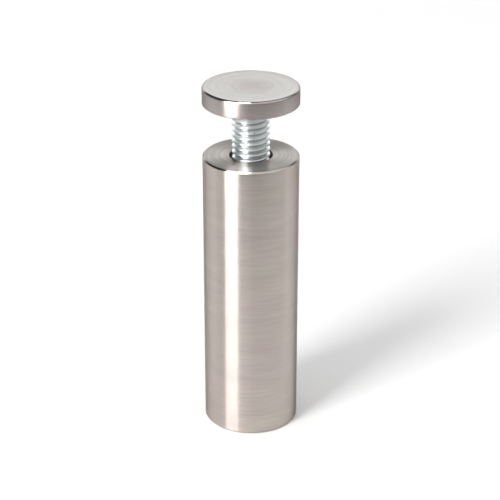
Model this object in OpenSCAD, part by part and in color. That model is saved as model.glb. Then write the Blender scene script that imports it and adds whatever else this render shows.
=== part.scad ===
// Glass panel standoff, standing on its wall end with +Z towards the glass.
// A turned barrel takes a threaded stud in its free end, and the disc cap on the
// stud is screwed down to clamp a pane of glass between the cap and the barrel.
// Sizes are in millimetres, and every piece is centred on the Z axis.

/* [Barrel] */
// Outside diameter of the barrel
barrel_d = 25; // [20:0.5:50]
// Length of the barrel between its two faces
barrel_length = 76; // [66:1:150]
// Chamfer on the barrel's two outer edges
barrel_chamfer = 0.4; // [0.2:0.1:1.5]

/* [Cap] */
// Diameter of the cap
cap_d = 25; // [20:0.5:50]
// Thickness of the cap
cap_thickness = 4.6; // [4.2:0.1:10]
// Radius of the cap's outer edge on its visible side
cap_edge_r = 0.8; // [0.2:0.1:2]
// Chamfer of the cap's outer edge on the glass side
cap_chamfer = 0.2; // [0.1:0.1:0.6]
// Depth of the tapped hole in the cap
cap_hole_depth = 3.2; // [2:0.1:3.8]

/* [Stud] */
// Nominal diameter of the stud's thread
stud_d = 10; // [8:0.5:12]
// Pitch of the stud's thread
stud_pitch = 1.5; // [1:0.25:1.75]
// Length of the stud
stud_length = 40; // [34:1:50]

/* [Wall fixing] */
// Nominal diameter of the thread in the barrel's wall end
wall_thread_d = 8; // [6:1:12]
// Depth of the thread in the barrel's wall end
wall_thread_depth = 16; // [10:1:24]

/* [Fit] */
// Open space for the glass, between the barrel and the cap
glass_gap = 14; // [4:0.5:24]
// Radial clearance between the stud's crests and the holes it turns in
thread_clearance = 0.06; // [0.03:0.01:0.1]
// Space between the stud's end and the bottom of the cap's hole
cap_seat_gap = 0.2; // [0.1:0.1:0.5]
// Depth left under the stud when the cap is down on the barrel
stud_run_out = 1; // [0.5:0.5:3]
// Depth of the countersink at the mouth of each hole in the barrel
barrel_mouth = 0.75; // [0.3:0.05:1.5]
// Depth of the countersink at the mouth of the cap's hole
cap_mouth = 0.4; // [0.2:0.1:1]

/* [Hidden] */

$fn = 96;                   // smoothness of the turned surfaces
overcut = 1;                // how far a cutting tool stands out of the face it enters
drill_point_angle = 118;    // included angle at the bottom of a drilled hole

// Faces along the Z axis
cap_base = barrel_length + glass_gap;
stud_top = cap_base + cap_hole_depth - cap_seat_gap;
stud_base = stud_top - stud_length;

// Reach of the stud below the cap, which the barrel's hole has to take whole
stud_reach = cap_base - stud_base;
stud_hole_depth = stud_reach + stud_run_out;

// The thread's section, in shares of its pitch
thread_depth = 0.6134;
flank_run = thread_depth * tan(30);
crest_flat = 0.125;
tip_depth = 0.1;            // how far below the roots the end chamfers start

crest_r = stud_d / 2 - thread_clearance;
root_r = crest_r - thread_depth * stud_pitch;
tip_r = root_r - tip_depth * stud_pitch;

// One turn of the thread's section: [share of the pitch, radius]
section = [
    [0, root_r],
    [flank_run, crest_r],
    [flank_run + crest_flat, crest_r],
    [2 * flank_run + crest_flat, root_r]
];
turn_rows = len(section);

sides = 24;                 // straight sides in one turn of the thread
end_face_slope = 0.4;       // how fast the helix runs in across an end face

// The helix starts one turn before the lower face and runs on past the upper face
turns = ceil(1 + stud_length / stud_pitch + 1 / sides);
last_row = turns * turn_rows;
last_side = sides - 1;

// Height of a row above the lower face. Each side starts a little higher than the one before it
function row_height(side, row) =
    stud_pitch * (floor(row / turn_rows) + section[row % turn_rows][0] + side / sides - 1);

// Radius of a row: the thread, cut back by the end chamfers, or past an end the way in across its face
function row_radius(height, row) =
    let (inside = min(height, stud_length - height))
    inside < 0 ? tip_r + end_face_slope * inside : min(section[row % turn_rows][1], tip_r + inside);

function thread_point(side, row) =
    let (
        angle = 360 * side / sides,
        height = row_height(side, row),
        radius = row_radius(height, row)
    )
    [radius * cos(angle), radius * sin(angle), max(0, min(stud_length, height))];

// A point's number in the list. The side after the last is the first one again, a turn higher
function point_number(side, row) =
    side > last_side ? row + turn_rows : side * (last_row + 1) + row;

// Two triangles for each skewed square between one side and the next
function thread_faces() = [
    for (side = [0:last_side])
        for (row = [0:(side < last_side ? last_row : last_row - turn_rows) - 1])
            let (
                a = point_number(side, row),
                b = point_number(side, row + 1),
                c = point_number(side + 1, row + 1),
                d = point_number(side + 1, row)
            )
            each [[a, b, c], [a, c, d]]
];

// An end face is a ring of points that runs in by one turn, and a fan that fills the step at its seam
function lower_face() = concat(
    [[for (side = [0:last_side]) point_number(side, 0)]],
    [
        for (row = [0:turn_rows - 1])
            [point_number(last_side, 0), point_number(0, row + 1), point_number(0, row)]
    ]
);
function upper_face() = concat(
    [[for (side = [last_side:-1:0]) point_number(side, last_row)]],
    [
        for (row = [last_row - turn_rows:last_row - 1])
            [point_number(0, last_row), point_number(last_side, row), point_number(last_side, row + 1)]
    ]
);

// A right-hand threaded rod with chamfered ends, as one closed surface standing on Z = 0
module threaded_rod() {
    polyhedron(
        points = [for (side = [0:last_side]) for (row = [0:last_row]) thread_point(side, row)],
        faces = concat(thread_faces(), lower_face(), upper_face()),
        convexity = 10
    );
}

function drill_point(d) = d / 2 / tan(drill_point_angle / 2);

// Cuts down from Z = 0: a countersunk mouth, a hole of the thread's nominal size and the drill's point
module tapped_hole(d, depth, mouth, point = 0) {
    rotate_extrude()
        polygon([
            [0, overcut],
            [d / 2 + mouth + overcut, overcut],
            [d / 2, -mouth],
            [d / 2, -depth],
            [0, -depth - point]
        ]);
}

// A straight round bar with chamfered ends, standing on Z = 0
module turned_bar(d, length, chamfer) {
    rotate_extrude()
        polygon([
            [0, 0],
            [d / 2 - chamfer, 0],
            [d / 2, chamfer],
            [d / 2, length - chamfer],
            [d / 2 - chamfer, length],
            [0, length]
        ]);
}

// Half of the cap's section: a round edge on its visible side and a small chamfer below
module cap_section() {
    cap_r = cap_d / 2;
    difference() {
        union() {
            square([cap_r, cap_thickness - cap_edge_r]);
            square([cap_r - cap_edge_r, cap_thickness]);
            translate([cap_r - cap_edge_r, cap_thickness - cap_edge_r])
                circle(r = cap_edge_r);
        }
        translate([cap_r, 0])
            rotate(45)
                square(cap_chamfer * sqrt(2), center = true);
    }
}

// Solid bar, tapped for the stud in its free end and for a fixing in its wall end
module barrel() {
    color([0.68, 0.64, 0.62])
        difference() {
            turned_bar(barrel_d, barrel_length, barrel_chamfer);
            translate([0, 0, barrel_length])
                tapped_hole(stud_d, stud_hole_depth, barrel_mouth, drill_point(stud_d));
            mirror([0, 0, 1])
                tapped_hole(wall_thread_d, wall_thread_depth, barrel_mouth, drill_point(wall_thread_d));
        }
}

module stud() {
    color([0.8, 0.83, 0.85])
        translate([0, 0, stud_base])
            threaded_rod();
}

// Disc with a blind hole for the stud in the face that presses on the glass
module cap() {
    color([0.72, 0.7, 0.68])
        translate([0, 0, cap_base])
            difference() {
                rotate_extrude()
                    cap_section();
                mirror([0, 0, 1])
                    tapped_hole(stud_d, cap_hole_depth, cap_mouth);
            }
}

barrel();
stud();
cap();
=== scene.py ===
import math

import bmesh
import bpy
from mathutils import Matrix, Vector


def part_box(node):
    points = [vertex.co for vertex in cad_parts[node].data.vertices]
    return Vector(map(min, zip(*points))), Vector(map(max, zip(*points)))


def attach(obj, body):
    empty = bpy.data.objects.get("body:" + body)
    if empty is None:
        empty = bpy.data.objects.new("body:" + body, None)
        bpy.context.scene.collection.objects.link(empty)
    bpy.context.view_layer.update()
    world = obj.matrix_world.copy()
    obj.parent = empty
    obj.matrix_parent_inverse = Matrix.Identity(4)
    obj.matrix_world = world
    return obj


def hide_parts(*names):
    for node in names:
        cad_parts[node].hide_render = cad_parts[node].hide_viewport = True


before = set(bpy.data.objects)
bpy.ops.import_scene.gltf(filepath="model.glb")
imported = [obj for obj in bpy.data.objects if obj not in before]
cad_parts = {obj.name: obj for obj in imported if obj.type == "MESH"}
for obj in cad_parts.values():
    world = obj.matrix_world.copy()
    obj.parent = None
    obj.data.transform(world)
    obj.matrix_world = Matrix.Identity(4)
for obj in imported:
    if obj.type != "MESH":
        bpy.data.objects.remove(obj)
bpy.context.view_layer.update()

mm = 0.001
fullTurn = 2 * math.pi


# Adds a node. Its inputs take plain values, or sockets of other nodes to link to
def addNode(tree, kind, inputs=None, **settings):
    node = tree.nodes.new(kind)
    for name, value in settings.items():
        setattr(node, name, value)
    for name, value in (inputs or {}).items():
        if isinstance(value, bpy.types.NodeSocket):
            tree.links.new(value, node.inputs[name])
        else:
            node.inputs[name].default_value = value
    return node


# One step of arithmetic in a tree. Returns the socket that holds the answer
def calc(tree, operation, *values):
    node = addNode(tree, "ShaderNodeMath", dict(enumerate(values)), operation=operation)
    return node.outputs["Value"]


# Carries a value from one range over to another, and stops at its ends
def mapRange(tree, value, fromRange, toRange=(0, 1), interpolation="LINEAR"):
    node = addNode(tree, "ShaderNodeMapRange", {
        "Value": value,
        "From Min": fromRange[0],
        "From Max": fromRange[1],
        "To Min": toRange[0],
        "To Max": toRange[1],
    }, interpolation_type=interpolation)
    return node.outputs["Result"]


# The same, but it starts and stops softly
def ease(tree, value, fromRange, toRange=(0, 1)):
    return mapRange(tree, value, fromRange, toRange, "SMOOTHSTEP")


# Goes from one value to another as the share goes from 0 to 1
def blend(tree, share, start, end):
    return addNode(tree, "ShaderNodeMix", {"Factor": share, "A": start, "B": end}).outputs["Result"]


# The same between two colours. Its sockets share their names with those for numbers, so they go by place
def blendColours(tree, share, start, end):
    ends = [value if isinstance(value, bpy.types.NodeSocket) else (*value, 1) for value in (start, end)]
    mixed = addNode(tree, "ShaderNodeMix", {0: share, 6: ends[0], 7: ends[1]}, data_type="RGBA")
    return mixed.outputs[2]


def splitVector(tree, vector):
    return addNode(tree, "ShaderNodeSeparateXYZ", {"Vector": vector}).outputs


def joinVector(tree, x, y, z):
    return addNode(tree, "ShaderNodeCombineXYZ", {"X": x, "Y": y, "Z": z}).outputs["Vector"]


def vectorLength(tree, vector):
    return addNode(tree, "ShaderNodeVectorMath", {0: vector}, operation="LENGTH").outputs["Value"]


# A material with an empty tree, and the place of each point on the piece that wears it
def startMaterial(name):
    material = bpy.data.materials.new(name)
    material.use_nodes = True
    tree = material.node_tree
    tree.nodes.clear()
    return material, tree, addNode(tree, "ShaderNodeTexCoord").outputs["Object"]


# A direction seen from the standoff: degrees left of the viewer, and degrees above the horizon
def direction(left, up):
    left = math.radians(left)
    up = math.radians(up)
    return Vector((-math.sin(left) * math.cos(up), -math.cos(left) * math.cos(up), math.sin(up)))


# Puts a camera or a lamp in its place, looking at its target
def aimAt(thing, place, target):
    thing.location = place
    thing.rotation_euler = (Vector(target) - Vector(place)).to_track_quat("-Z", "Y").to_euler()
    bpy.context.scene.collection.objects.link(thing)


cameraLook = {
    "lens": 119.46,
    "clipStart": 10 * mm,
    "distance": 437.9 * mm,
    "up": 25.04,                            # degrees above the horizon
    "target": (-0.24 * mm, 0, 48.86 * mm),
}


def makeCamera():
    camera = bpy.data.objects.new("camera", bpy.data.cameras.new("camera"))
    camera.data.lens = cameraLook["lens"]
    camera.data.clip_start = cameraLook["clipStart"]
    target = Vector(cameraLook["target"])
    aimAt(camera, target + direction(0, cameraLook["up"]) * cameraLook["distance"], target)
    bpy.context.scene.camera = camera


# A lamp is its place, its size and the brightness of its face, where white is 1. The place is in degrees
# left of the viewer and above the horizon, the size in degrees wide and high as seen from the standoff.
# Heights in the room, and how far to a side, are the share of a direction that points there
studio = {
    "floorLamp": ((44, 29), (18, 54), 9.8), # lights the floor alone
    "metalLamps": (                         # these show in the metal alone
        ((46, 5), (30, 10), 17.0),          # a low strip
        ((45, 5), (40, 10), 3.0),           # its soft edges
        ((46.5, 17), (32, 14), 1.0),        # its dim middle
        ((46.5, 37), (31, 26), 11.0),       # its upper part
        ((40, 76), (16, 10), 42.0),         # looks down on the barrel's face
    ),
    "lampsAway": 2.5,
    "fill": 0.70,                           # light that reaches the floor from all round
    "horizonLevel": 0.35,                   # how bright the metal sees the room, level with the eye
    "ceilingLevels": (0.06, 0.25),          # and overhead, from the middle over to the right
    "ceilingSides": (0, 0.5),               # where the one ceiling level turns into the other
    "ceilingFrom": (0.1, 0.55),             # how high up the ceiling comes in
    "aboveLevel": 1.1,                      # the pale ceiling above and in front
    "aboveFrom": (0.45, 0.62),              # how high up it comes in
    "aboveFront": (0.04, 0.2),              # how far forward it comes in
    "aboveSlant": 0.6,                      # how fast it reaches back to the right
    "aboveDrop": 0.2,                       # and how fast it comes down there
    "leftLevel": 0.04,                      # the dark side of the room
    "leftFrom": (0.3, 0.6),                 # how far left it comes in
    "leftHeights": (0.3, 0.46, 0.72, 0.86), # how high up it comes in and goes out again
    "wallLevel": 1.52,                      # the wall behind the standoff
    "wallTop": (0.54, 0.74),                # how high up it ends
    "wallSide": (0.62, 0.88),               # how far back it comes in
    "wallSlant": 0.5,                       # how fast its top comes down to the left
    "floorHalf": 2.0,
    "floorTone": 0.98,
    "floorFade": (0.22, 0.6),               # distances over which the floor runs out into plain white
    "floorDim": 0.2,                        # how dim the metal sees it right in front of the standoff
    "floorDimFrom": (10 * mm, -30 * mm),    # where along Y that comes in
    "floorEnds": (0.12, 0.3),               # distances in front over which the metal sees the floor end
    "floorReach": (0.3, 0.42, 0.42),        # distances to the left, right and back count by these
    "floorEndLevel": 0.15,                  # what the metal sees past that
}


def makeLamp(name, place, size, brightness, lightsFloor):
    away = studio["lampsAway"]
    lamp = bpy.data.lights.new(name, "AREA")
    lamp.shape = "RECTANGLE"
    lamp.size = 2 * away * math.tan(math.radians(size[0] / 2))
    lamp.size_y = 2 * away * math.tan(math.radians(size[1] / 2))
    lamp.energy = brightness * math.pi * lamp.size * lamp.size_y
    softbox = bpy.data.objects.new(name, lamp)
    aimAt(softbox, direction(*place) * away, (0, 0, 0))
    softbox.visible_camera = False
    softbox.visible_diffuse = lightsFloor
    softbox.visible_glossy = not lightsFloor


# The camera sees plain white, the metal sees a room, and the floor gets an even fill
def makeWorld():
    world = bpy.data.worlds.new("studio")
    world.use_nodes = True
    tree = world.node_tree
    tree.nodes.clear()
    way = splitVector(tree, addNode(tree, "ShaderNodeTexCoord").outputs["Generated"])
    toFront = calc(tree, "MULTIPLY", way["Y"], -1.0)
    toLeft = calc(tree, "MULTIPLY", way["X"], -1.0)
    toRight = calc(tree, "MAXIMUM", way["X"], 0.0)

    ceiling = mapRange(tree, way["X"], studio["ceilingSides"], studio["ceilingLevels"])
    upward = ease(tree, way["Z"], studio["ceilingFrom"])
    room = blend(tree, upward, studio["horizonLevel"], ceiling)

    dropped = calc(tree, "MULTIPLY_ADD", toRight, studio["aboveDrop"], way["Z"])
    reachBack = calc(tree, "MULTIPLY_ADD", toRight, studio["aboveSlant"], toFront)
    high = ease(tree, dropped, studio["aboveFrom"])
    forward = ease(tree, reachBack, studio["aboveFront"])
    room = blend(tree, calc(tree, "MULTIPLY", high, forward), room, studio["aboveLevel"])

    heights = studio["leftHeights"]
    starts = ease(tree, way["Z"], heights[:2])
    stops = ease(tree, way["Z"], heights[2:], (1, 0))
    leftward = ease(tree, toLeft, studio["leftFrom"])
    darkSide = calc(tree, "MULTIPLY", leftward, calc(tree, "MULTIPLY", starts, stops))
    room = blend(tree, darkSide, room, studio["leftLevel"])

    toLeftOnly = calc(tree, "MAXIMUM", toLeft, 0.0)
    slanted = calc(tree, "MULTIPLY_ADD", toLeftOnly, studio["wallSlant"], way["Z"])
    wallHeight = ease(tree, slanted, studio["wallTop"], (1, 0))
    wallBehind = ease(tree, way["Y"], studio["wallSide"])
    room = blend(tree, calc(tree, "MULTIPLY", wallHeight, wallBehind), room, studio["wallLevel"])

    ray = addNode(tree, "ShaderNodeLightPath").outputs
    lit = blend(tree, ray["Is Glossy Ray"], studio["fill"], room)
    seen = blend(tree, ray["Is Camera Ray"], lit, 1.0)
    background = addNode(tree, "ShaderNodeBackground", {"Strength": seen, "Color": (1, 1, 1, 1)})
    addNode(tree, "ShaderNodeOutputWorld", {"Surface": background.outputs["Background"]})
    bpy.context.scene.world = world


# A matt floor that takes the shadow. The camera sees it run out into white, and the metal into the dark
def makeFloor():
    material, tree, place = startMaterial("pale floor")
    ray = addNode(tree, "ShaderNodeLightPath").outputs
    fade = ease(tree, vectorLength(tree, place), studio["floorFade"])
    whitened = calc(tree, "MULTIPLY", fade, ray["Is Camera Ray"])

    place = splitVector(tree, place)
    reachLeft, reachRight, reachBack = studio["floorReach"]
    left = calc(tree, "MULTIPLY", place["X"], -reachLeft)
    right = calc(tree, "MULTIPLY", place["X"], reachRight)
    front = calc(tree, "MULTIPLY", place["Y"], -1.0)
    back = calc(tree, "MULTIPLY", place["Y"], reachBack)
    aside = calc(tree, "MAXIMUM", left, right)
    ahead = calc(tree, "MAXIMUM", front, back)
    ends = ease(tree, vectorLength(tree, joinVector(tree, aside, ahead, 0.0)), studio["floorEnds"])
    dim = ease(tree, place["Y"], studio["floorDimFrom"], (0, studio["floorDim"]))
    darkened = calc(tree, "MULTIPLY", calc(tree, "MAXIMUM", dim, ends), ray["Is Glossy Ray"])

    tone = studio["floorTone"]
    matt = addNode(tree, "ShaderNodeBsdfDiffuse", {"Color": (tone, tone, tone, 1)}).outputs["BSDF"]
    white = addNode(tree, "ShaderNodeEmission", {"Strength": 1.0}).outputs["Emission"]
    dark = addNode(tree, "ShaderNodeEmission", {"Strength": studio["floorEndLevel"]}).outputs["Emission"]
    seen = addNode(tree, "ShaderNodeMixShader", {0: whitened, 1: matt, 2: white}).outputs["Shader"]
    mirrored = addNode(tree, "ShaderNodeMixShader", {0: darkened, 1: seen, 2: dark}).outputs["Shader"]
    addNode(tree, "ShaderNodeOutputMaterial", {"Surface": mirrored})

    half = studio["floorHalf"]
    corners = [(-half, -half, 0), (half, -half, 0), (half, half, 0), (-half, half, 0)]
    mesh = bpy.data.meshes.new("floor")
    mesh.from_pydata(corners, [], [(0, 1, 2, 3)])
    mesh.materials.append(material)
    floor = bpy.data.objects.new("floor", mesh)
    bpy.context.scene.collection.objects.link(floor)


bpy.context.scene.view_settings.view_transform = "Standard"
makeCamera()
makeLamp("floor lamp", *studio["floorLamp"], True)
for lamp in studio["metalLamps"]:
    makeLamp("metal lamp", *lamp, False)
makeWorld()
makeFloor()
print("studio ready")


# Starts a geometry tree that takes geometry, a number of sides, the named inputs and a material
def startTree(name, inputs=()):
    tree = bpy.data.node_groups.new(name, "GeometryNodeTree")
    face = tree.interface
    face.new_socket("Geometry", in_out="OUTPUT", socket_type="NodeSocketGeometry")
    face.new_socket("Geometry", in_out="INPUT", socket_type="NodeSocketGeometry")
    face.new_socket("Sides", in_out="INPUT", socket_type="NodeSocketInt")
    for label in inputs:
        face.new_socket(label, in_out="INPUT", socket_type="NodeSocketFloat")
    face.new_socket("Material", in_out="INPUT", socket_type="NodeSocketMaterial")
    return tree, addNode(tree, "NodeGroupInput").outputs


# A flat net of points, and for each point its row and its share of a turn
def pointNet(tree, rows, sides):
    net = addNode(tree, "GeometryNodeMeshGrid", {
        "Size X": 1.0,
        "Size Y": 1.0,
        "Vertices X": calc(tree, "ADD", rows, 1.0),
        "Vertices Y": calc(tree, "ADD", sides, 1.0),
    })
    place = splitVector(tree, addNode(tree, "GeometryNodeInputPosition").outputs["Position"])
    row = calc(tree, "ROUND", calc(tree, "MULTIPLY", calc(tree, "ADD", place["X"], 0.5), rows))
    share = calc(tree, "ADD", place["Y"], 0.5)
    return net.outputs["Mesh"], row, share


# Wraps the net round the Z axis at its radii and heights, gives it its material and ends the tree
def wrapNet(tree, given, net, radius, height, share):
    angle = calc(tree, "MULTIPLY", share, fullTurn)
    x = calc(tree, "MULTIPLY", radius, calc(tree, "COSINE", angle))
    y = calc(tree, "MULTIPLY", radius, calc(tree, "SINE", angle))
    wrapped = addNode(tree, "GeometryNodeSetPosition", {
        "Geometry": net,
        "Position": joinVector(tree, x, y, height),
    })
    real = addNode(tree, "GeometryNodeRealizeInstances", {"Geometry": wrapped.outputs["Geometry"]})
    made = addNode(tree, "GeometryNodeSetMaterial", {
        "Geometry": real.outputs["Geometry"],
        "Material": given["Material"],
    })
    addNode(tree, "NodeGroupOutput", {"Geometry": made.outputs["Geometry"]})
    return tree


# Turns a section round the Z axis, as a lathe does. Each point of the section is at (radius, 0, height)
def makeTurningTree():
    tree, given = startTree("turned form")
    points = addNode(tree, "GeometryNodeAttributeDomainSize", {"Geometry": given["Geometry"]})
    rows = calc(tree, "SUBTRACT", points.outputs["Point Count"], 1.0)
    net, row, share = pointNet(tree, rows, given["Sides"])
    point = addNode(tree, "GeometryNodeSampleIndex", {
        "Geometry": given["Geometry"],
        "Value": addNode(tree, "GeometryNodeInputPosition").outputs["Position"],
        "Index": row,
    }, data_type="FLOAT_VECTOR")
    place = splitVector(tree, point.outputs["Value"])
    return wrapNet(tree, given, net, place["X"], place["Z"], share)


# One thread from root to root: shares of the pitch, with shares of the thread's depth
threadShape = [
    (0, 0),
    (0.07, 0.02),
    (0.25, 0.47),
    (0.43, 0.96),
    (0.5, 1),
    (0.57, 0.96),
    (0.75, 0.47),
    (0.93, 0.02),
    (1, 0),
]

threadInputs = [
    "Turns", "Rows per turn", "Pitch", "Start",
    "Root radius", "Crest radius", "Bottom", "Top",
]


# A net that climbs by one pitch in each turn. Returns it with its radius, height and share of a turn
def threadNet(tree, given):
    rows = calc(tree, "MULTIPLY", given["Turns"], given["Rows per turn"])
    net, row, share = pointNet(tree, rows, given["Sides"])
    turns = calc(tree, "DIVIDE", row, given["Rows per turn"])
    shape = addNode(tree, "ShaderNodeFloatCurve", {"Value": calc(tree, "FRACT", turns)})
    curve = shape.mapping.curves[0]
    for place, depth in threadShape[1:-1]:
        curve.points.new(place, depth)
    curve.points[0].location = threadShape[0]
    curve.points[-1].location = threadShape[-1]
    shape.mapping.update()
    depth = calc(tree, "SUBTRACT", given["Crest radius"], given["Root radius"])
    radius = calc(tree, "MULTIPLY_ADD", shape.outputs["Value"], depth, given["Root radius"])
    climbed = calc(tree, "MULTIPLY", calc(tree, "ADD", turns, share), given["Pitch"])
    return net, radius, calc(tree, "ADD", given["Start"], climbed), share


# Flattens a thread's net on to its two ends
def cutToEnds(tree, given, height):
    return calc(tree, "MINIMUM", calc(tree, "MAXIMUM", height, given["Bottom"]), given["Top"])


# A threaded rod. Its ends are chamfered to the tip radius, and past them the net runs in to the axis
def makeRodTree():
    tree, given = startTree("threaded rod", threadInputs + ["Tip radius", "Run in"])
    net, thread, height, share = threadNet(tree, given)
    fromBottom = calc(tree, "SUBTRACT", height, given["Bottom"])
    fromTop = calc(tree, "SUBTRACT", given["Top"], height)
    inside = calc(tree, "MINIMUM", fromBottom, fromTop)
    chamfered = calc(tree, "MINIMUM", thread, calc(tree, "ADD", given["Tip radius"], inside))
    past = calc(tree, "MULTIPLY_ADD", calc(tree, "MINIMUM", inside, 0.0), given["Run in"], chamfered)
    radius = calc(tree, "MAXIMUM", past, 0.0)
    return wrapNet(tree, given, net, radius, cutToEnds(tree, given, height), share)


# A tapped hole: the thread, cut wider by the countersink at its mouth, and running out at its end
def makeTappedTree():
    holeInputs = ["Mouth", "Mouth radius", "End", "Drill radius"]
    tree, given = startTree("tapped hole", threadInputs + holeInputs)
    net, thread, height, share = threadNet(tree, given)
    height = cutToEnds(tree, given, height)
    fromMouth = calc(tree, "ABSOLUTE", calc(tree, "SUBTRACT", height, given["Mouth"]))
    fromEnd = calc(tree, "ABSOLUTE", calc(tree, "SUBTRACT", height, given["End"]))
    runOut = calc(tree, "MINIMUM", thread, calc(tree, "ADD", given["Drill radius"], fromEnd))
    radius = calc(tree, "MAXIMUM", runOut, calc(tree, "SUBTRACT", given["Mouth radius"], fromMouth))
    return wrapNet(tree, given, net, radius, height, share)


turningTree = makeTurningTree()
rodTree = makeRodTree()
tappedTree = makeTappedTree()

meshing = {
    "arcSteps": 5,                  # straight steps in a rounded corner
    "spareTurns": 2,                # turns of thread past each end, which are flattened on to it
    "mergeWithin": 0.002 * mm,
    "shortestEdge": 0.0005 * mm,
}


# Runs a tree on a mesh, and returns what it makes as a plain mesh
def meshFromTree(tree, mesh, values):
    holder = bpy.data.objects.new("holder", mesh)
    bpy.context.scene.collection.objects.link(holder)
    modifier = holder.modifiers.new(tree.name, "NODES")
    modifier.node_group = tree
    for socket in tree.interface.items_tree:
        if socket.in_out == "INPUT" and socket.name in values:
            modifier[socket.identifier] = values[socket.name]
    finished = holder.evaluated_get(bpy.context.evaluated_depsgraph_get())
    made = bpy.data.meshes.new_from_object(finished)
    bpy.data.objects.remove(holder)
    return made


# The chain of points for one section. A corner is a radius, a height and the radius that rounds it off
def sectionMesh(corners):
    steps = meshing["arcSteps"]
    points = [Vector(corners[0][:2])]
    for before, corner, after in zip(corners, corners[1:], corners[2:]):
        place = Vector(corner[:2])
        rounding = corner[2]
        if rounding == 0:
            points.append(place)
            continue
        toBefore = (Vector(before[:2]) - place).normalized()
        toAfter = (Vector(after[:2]) - place).normalized()
        half = toBefore.angle(toAfter) / 2
        centre = place + (toBefore + toAfter).normalized() * (rounding / math.sin(half))
        reach = rounding / math.tan(half)
        first = (place + toBefore * reach - centre).normalized()
        last = (place + toAfter * reach - centre).normalized()
        for step in range(steps + 1):
            points.append(centre + first.slerp(last, step / steps) * rounding)
    points.append(Vector(corners[-1][:2]))
    mesh = bpy.data.meshes.new("section")
    chain = [(i, i + 1) for i in range(len(points) - 1)]
    mesh.from_pydata([(radius, 0, height) for radius, height in points], chain, [])
    return mesh


# Corners in even steps from one place to another, without the two themselves
def cornersBetween(start, end, steps):
    return [(*Vector(start).lerp(Vector(end), step / steps), 0) for step in range(1, steps)]


def turned(corners, sides, material):
    return meshFromTree(turningTree, sectionMesh(corners), {"Sides": sides, "Material": material})


# Values that every thread works out from its sizes and its ends. A stud and its holes share one start
def threadValues(thread, sides, bottom, top, sharedStart, material):
    pitch = thread["pitch"]
    spare = meshing["spareTurns"]
    start = sharedStart + pitch * (math.floor((bottom - sharedStart) / pitch) - spare)
    return {
        "Sides": sides,
        "Turns": float(math.ceil((top - start) / pitch) + spare),
        "Rows per turn": float(thread["rowsPerTurn"]),
        "Pitch": pitch,
        "Start": start,
        "Root radius": thread["rootRadius"],
        "Crest radius": thread["crestRadius"],
        "Bottom": bottom,
        "Top": top,
        "Material": material,
    }


# The two parts of a tapped hole: its thread, and the cone that the drill leaves past its end
def tappedHole(thread, sides, mouth, end, sharedStart, material):
    inward = math.copysign(1, end - mouth)
    ring = mouth + inward * thread["lip"]
    values = threadValues(thread, sides, min(ring, end), max(ring, end), sharedStart, material)
    values["Mouth"] = mouth
    values["Mouth radius"] = thread["mouthRadius"]
    values["End"] = end
    values["Drill radius"] = thread["drillRadius"]
    tip = end + inward * thread["drillRadius"] / math.tan(math.radians(thread["drillAngle"] / 2))
    return [
        meshFromTree(tappedTree, bpy.data.meshes.new("empty"), values),
        turned([(thread["drillRadius"], end, 0), (0, tip, 0)], sides, material),
    ]


# Joins the parts of a piece into one closed mesh with its faces outward
def joinParts(name, meshes, sharpAngle):
    form = bmesh.new()
    for mesh in meshes:
        form.from_mesh(mesh)
    bmesh.ops.remove_doubles(form, verts=form.verts, dist=meshing["mergeWithin"])
    bmesh.ops.dissolve_degenerate(form, edges=form.edges, dist=meshing["shortestEdge"])
    bmesh.ops.recalc_face_normals(form, faces=form.faces)
    joined = bpy.data.meshes.new(name)
    form.to_mesh(joined)
    form.free()
    joined.materials.append(meshes[0].materials[-1])
    joined.polygons.foreach_set("material_index", [0] * len(joined.polygons))
    joined.polygons.foreach_set("use_smooth", [True] * len(joined.polygons))
    joined.set_sharp_from_angle(angle=math.radians(sharpAngle))
    piece = bpy.data.objects.new(name, joined)
    bpy.context.scene.collection.objects.link(piece)
    return piece


# Hands a piece over with the body it moves with and the node it stands for
def hand(piece, node, body):
    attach(piece, body)
    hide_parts(node)
    print(piece.name, "made:", len(piece.data.polygons), "faces")


# The part of a place that lies square to the Z axis
def flatPlace(tree, place):
    place = splitVector(tree, place)
    return joinVector(tree, place["X"], place["Y"], 0.0)


# Ends the tree of a metal. Its colour is darkened by the tone, and the marks are given by their height
def addMetal(tree, colour, tone, roughness, height, extras=None):
    toned = addNode(tree, "ShaderNodeVectorMath", {0: colour, "Scale": tone}, operation="SCALE")
    bump = addNode(tree, "ShaderNodeBump", {"Height": height, "Distance": 1.0, "Strength": 1.0})
    shader = addNode(tree, "ShaderNodeBsdfPrincipled", {
        "Base Color": toned.outputs["Vector"],
        "Metallic": 1.0,
        "Roughness": roughness,
        "Normal": bump.outputs["Normal"],
        **(extras or {}),
    })
    addNode(tree, "ShaderNodeOutputMaterial", {"Surface": shader.outputs["BSDF"]})


def addNoise(tree, vector, size, detail, roughness=0.5):
    noise = addNode(tree, "ShaderNodeTexNoise", {
        "Vector": vector,
        "Scale": 1 / size,
        "Detail": detail,
        "Roughness": roughness,
    })
    return noise.outputs["Fac"]


# Nearly all of a noise lies between these
noiseRange = (0.3, 0.7)

stud = {
    "sides": 120,
    "pitch": 1.5 * mm,
    "rowsPerTurn": 16,
    "rootRadius": 4.02 * mm,
    "crestRadius": 4.94 * mm,
    "tipRadius": 3.87 * mm,
    "runIn": 3.0,                   # how fast the net runs in over an end face
    "sharpAngle": 50,               # degrees, past which an edge is shaded sharp
    "colour": (0.81, 0.845, 0.85),
    "rootShadeTone": 0.55,               # painted shade down in the roots: how dark the colour gets there
    "rootShadeShare": 0.4,               # how much of the thread's depth the painted shade takes in
    "roughness": 0.32,
    "patchSize": 1.2 * mm,
    "patchRoughness": 0.05,
    "patchDepth": 0.004 * mm,
}


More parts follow.
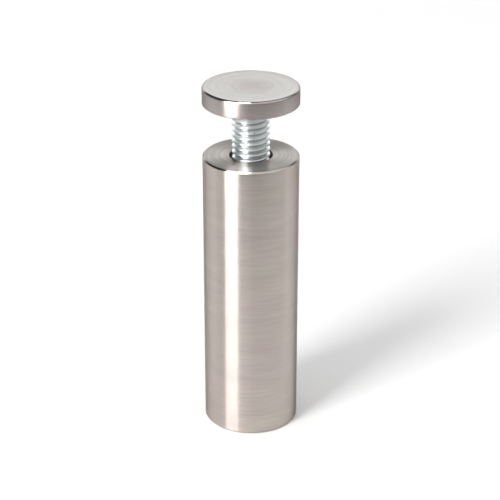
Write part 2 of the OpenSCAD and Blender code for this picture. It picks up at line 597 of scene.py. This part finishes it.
def zincPlate(name, look):
    material, tree, place = startMaterial(name)
    patch = addNoise(tree, place, look["patchSize"], 3.0)
    smoothest = look["roughness"] - look["patchRoughness"]
    roughest = look["roughness"] + look["patchRoughness"]
    roughness = mapRange(tree, patch, noiseRange, (smoothest, roughest))
    # Painted shade: the colour darkens down in the thread's roots
    radius = vectorLength(tree, flatPlace(tree, place))
    rootShadeEdge = look["rootRadius"] + look["rootShadeShare"] * (look["crestRadius"] - look["rootRadius"])
    tone = mapRange(tree, radius, (look["rootRadius"], rootShadeEdge), (look["rootShadeTone"], 1))
    addMetal(tree, look["colour"], tone, roughness, calc(tree, "MULTIPLY", patch, look["patchDepth"]))
    return material


def makeStud():
    low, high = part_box("stud")
    zinc = zincPlate("zinc plated stud", stud)
    values = threadValues(stud, stud["sides"], low.z, high.z, low.z, zinc)
    values["Tip radius"] = stud["tipRadius"]
    values["Run in"] = stud["runIn"]
    rod = meshFromTree(rodTree, bpy.data.meshes.new("empty"), values)
    hand(joinParts("threaded_stud", [rod], stud["sharpAngle"]), "stud", "stud")


# How detailed each kind of mark on turned steel is, and a shift that keeps it apart from the others
markNoises = {
    "line": (3.0, 0.0),
    "band": (2.0, 7.0),
    "ring": (1.0, 3.0),
}


# A noise drawn out round the axis
def turnedNoise(tree, look, kind, outward, along):
    detail, shift = markNoises[kind]
    vector = joinVector(
        tree,
        calc(tree, "MULTIPLY", outward["X"], 1 / look[kind + "Length"]),
        calc(tree, "MULTIPLY", outward["Y"], 1 / look[kind + "Length"]),
        calc(tree, "MULTIPLY_ADD", along, 1 / look[kind + "Width"], shift),
    )
    return addNoise(tree, vector, 1.0, detail, 0.6)


# Swings with a noise to both sides of 1, by up to the share
def swing(tree, noise, share):
    return mapRange(tree, noise, noiseRange, (1 - share, 1 + share))


# Stainless steel, brushed round its axis on the lathe. Its faces, rim and side have their own colour and
# roughness, told apart by how far out they lie. Down in its holes the colour is darkened as painted
# shade
def turnedSteel(name, look, outerRadius, holeTop):
    material, tree, place = startMaterial(name)
    flat = flatPlace(tree, place)
    radius = vectorLength(tree, flat)
    height = splitVector(tree, place)["Z"]
    along = calc(tree, "ADD", height, radius)
    outward = addNode(tree, "ShaderNodeVectorMath", {0: flat}, operation="NORMALIZE").outputs["Vector"]
    outward = splitVector(tree, outward)
    lines = turnedNoise(tree, look, "line", outward, along)
    bands = turnedNoise(tree, look, "band", outward, along)
    rings = turnedNoise(tree, look, "ring", outward, radius)

    onSide = mapRange(tree, radius, (outerRadius - look["rimWidth"], outerRadius - look["rimEnd"]))
    onFace = calc(tree, "SUBTRACT", 1.0, onSide)
    onRim = calc(tree, "MULTIPLY", calc(tree, "MULTIPLY", onSide, onFace), 4.0)  # up to 1 in its middle

    ringShare = calc(tree, "MULTIPLY", onFace, look["ringTone"])
    ringTone = calc(tree, "MULTIPLY_ADD", mapRange(tree, rings, noiseRange, (-1, 1)), ringShare, 1.0)
    # Painted shade: the colour darkens inside the holes and fades out over the countersink
    aboveHole = mapRange(tree, height, (holeTop, holeTop + look["holeShadeFade"]))
    besideHole = mapRange(tree, radius, look["holeShadeRadii"], (look["holeShadeTone"], 1))
    holeShadeTone = calc(tree, "MAXIMUM", aboveHole, besideHole)
    tone = swing(tree, lines, look["lineTone"])
    for factor in (swing(tree, bands, look["bandTone"]), ringTone, holeShadeTone):
        tone = calc(tree, "MULTIPLY", tone, factor)

    clouded = mapRange(tree, addNoise(tree, place, look["cloudSize"], 2.0), look["cloudRange"])
    sideColour = blendColours(tree, clouded, look["colour"], look["cloudColour"])
    fromCentre = ease(tree, radius, (0, look["centreRadius"]))
    faceColour = blendColours(tree, fromCentre, look["centreColour"], look["faceColour"])
    colour = blendColours(tree, onSide, faceColour, sideColour)

    plain = blend(tree, onSide, look["faceRoughness"], look["roughness"])
    rimmed = blend(tree, onRim, plain, look["rimRoughness"])
    roughness = calc(tree, "MULTIPLY", rimmed, swing(tree, lines, look["lineRoughness"]))
    ringHeight = calc(tree, "MULTIPLY", calc(tree, "MULTIPLY", rings, onFace), look["ringDepth"])
    markHeight = calc(tree, "MULTIPLY_ADD", lines, look["lineDepth"], ringHeight)
    tangent = addNode(tree, "ShaderNodeTangent", direction_type="RADIAL", axis="Z")
    addMetal(tree, colour, tone, roughness, markHeight, {
        "Specular Tint": (look["edgeTint"],) * 3 + (1,),
        "Anisotropic": look["anisotropy"],
        "Anisotropic Rotation": 0.25,  # of a turn, so that highlights spread across the lines
        "Tangent": tangent.outputs["Tangent"],
    })
    return material


barrel = {
    "sides": 144,
    "sideRows": 14,                 # rows of faces up the side
    "edgeChamfer": 0.4 * mm,
    "edgeRounding": 0.08 * mm,
    "mouthRounding": 0.05 * mm,
    "sharpAngle": 30,
    "studHoleEnd": 38 * mm,         # height of the end of the stud's thread
    "studThread": {
        "pitch": stud["pitch"],
        "rowsPerTurn": 8,
        "rootRadius": 4.14 * mm,
        "crestRadius": 5.03 * mm,
        "drillRadius": 4.1 * mm,
        "drillAngle": 118,          # between the two sides of the drill's point
        "mouthRadius": 5.75 * mm,
        "lip": 0.15 * mm,           # how far the face's own mesh runs down the countersink
    },
    "wallHoleDepth": 16 * mm,
    "wallThread": {
        "pitch": 1.25 * mm,
        "rowsPerTurn": 8,
        "rootRadius": 3.35 * mm,
        "crestRadius": 4.02 * mm,
        "drillRadius": 3.35 * mm,
        "drillAngle": 118,
        "mouthRadius": 4.75 * mm,
        "lip": 0.15 * mm,
    },
    "colour": (0.56, 0.487, 0.462),
    "cloudColour": (0.55, 0.50, 0.45),
    "cloudSize": 14 * mm,
    "cloudRange": (0.35, 0.65),     # shares of the clouds' noise between the two colours
    "faceColour": (0.475, 0.453, 0.431),
    "centreColour": (0.475, 0.453, 0.431),
    "centreRadius": 9 * mm,
    "roughness": 0.25,
    "faceRoughness": 0.31,
    "rimRoughness": 0.2,
    "rimWidth": 0.4 * mm,           # how far in from the side the rim starts
    "rimEnd": 0.02 * mm,            # and where it stops
    "anisotropy": 1.0,
    "edgeTint": 0.4,
    "lineLength": 0.8,              # lengths of marks are in radians round the axis
    "lineWidth": 0.16 * mm,
    "lineTone": 0.13,
    "lineRoughness": 0.06,
    "lineDepth": 0.003 * mm,
    "bandLength": 1.2,
    "bandWidth": 3 * mm,
    "bandTone": 0.04,
    "ringLength": 3.0,
    "ringWidth": 0.38 * mm,
    "ringTone": 0.135,
    "ringDepth": 0.012 * mm,
    # painted shade in the holes: the radii over which it fades out, and how dark it gets
    "holeShadeRadii": (5.55 * mm, 5.75 * mm),
    "holeShadeTone": 0.12,
    "holeShadeFade": 0.1 * mm,           # height over which the painted shade of a hole ends above it
}


def makeBarrel():
    low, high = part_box("barrel")
    radius = high.x
    steel = turnedSteel("brushed barrel steel", barrel, radius, high.z)
    chamfer = barrel["edgeChamfer"]
    rounding = barrel["edgeRounding"]
    wallThread = barrel["wallThread"]
    studThread = barrel["studThread"]
    outside = [
        (wallThread["mouthRadius"] - wallThread["lip"], low.z + wallThread["lip"], 0),
        (wallThread["mouthRadius"], low.z, barrel["mouthRounding"]),
        (radius - chamfer, low.z, rounding),
        (radius, low.z + chamfer, rounding),
        *cornersBetween((radius, low.z + chamfer), (radius, high.z - chamfer), barrel["sideRows"]),
        (radius, high.z - chamfer, rounding),
        (radius - chamfer, high.z, rounding),
        (studThread["mouthRadius"], high.z, barrel["mouthRounding"]),
        (studThread["mouthRadius"] - studThread["lip"], high.z - studThread["lip"], 0),
    ]
    sides = barrel["sides"]
    wallEnd = low.z + barrel["wallHoleDepth"]
    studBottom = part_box("stud")[0].z
    parts = [
        turned(outside, sides, steel),
        *tappedHole(wallThread, sides, low.z, wallEnd, low.z, steel),
        *tappedHole(studThread, sides, high.z, barrel["studHoleEnd"], studBottom, steel),
    ]
    hand(joinParts("turned_barrel", parts, barrel["sharpAngle"]), "barrel", "barrel")


cap = {
    "sides": 144,
    "topRings": 8,                  # rings of faces on the top
    "edgeRadius": 0.65 * mm,
    "underChamfer": 0.2 * mm,
    "underRounding": 0.05 * mm,
    "sharpAngle": 30,
    "holeDepth": 3.2 * mm,
    "studThread": {
        **barrel["studThread"],
        "drillAngle": 180,          # a flat end
        "mouthRadius": 5.4 * mm,
        "lip": 0.1 * mm,
    },
    "colour": (0.50, 0.436, 0.418),
    "cloudColour": (0.485, 0.44, 0.41),
    "cloudSize": 12 * mm,
    "cloudRange": (0.35, 0.65),
    "faceColour": (0.625, 0.617, 0.60),
    "centreColour": (0.54, 0.505, 0.496),
    "centreRadius": 9 * mm,
    "roughness": 0.3,
    "faceRoughness": 0.14,
    "rimRoughness": 0.13,
    "rimWidth": 0.8 * mm,
    "rimEnd": 0.02 * mm,
    "anisotropy": 0.9,
    "edgeTint": 0.4,
    "lineLength": 0.8,
    "lineWidth": 0.12 * mm,
    "lineTone": 0.08,
    "lineRoughness": 0.06,
    "lineDepth": 0.002 * mm,
    "bandLength": 2.0,
    "bandWidth": 1.5 * mm,
    "bandTone": 0.02,
    "ringLength": 2.0,
    "ringWidth": 1.2 * mm,
    "ringTone": 0.03,
    "ringDepth": 0.004 * mm,
    # painted shade in the hole: the radii over which it fades out, and how dark it gets
    "holeShadeRadii": (5.2 * mm, 5.4 * mm),
    "holeShadeTone": 0.3,
    "holeShadeFade": 0.1 * mm,
}


def makeCap():
    low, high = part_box("cap")
    radius = high.x
    holeEnd = low.z + cap["holeDepth"]
    steel = turnedSteel("satin cap steel", cap, radius, holeEnd)
    chamfer = cap["underChamfer"]
    rounding = cap["underRounding"]
    thread = cap["studThread"]
    outside = [
        (thread["mouthRadius"] - thread["lip"], low.z + thread["lip"], 0),
        (thread["mouthRadius"], low.z, rounding),
        (radius - chamfer, low.z, rounding),
        (radius, low.z + chamfer, rounding),
        (radius, high.z, cap["edgeRadius"]),
        *cornersBetween((radius - cap["edgeRadius"], high.z), (0, high.z), cap["topRings"]),
        (0, high.z, 0),
    ]
    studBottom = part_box("stud")[0].z
    parts = [
        turned(outside, cap["sides"], steel),
        *tappedHole(thread, cap["sides"], low.z, holeEnd, studBottom, steel),
    ]
    hand(joinParts("disc_cap", parts, cap["sharpAngle"]), "cap", "cap")


makeBarrel()
makeStud()
makeCap()
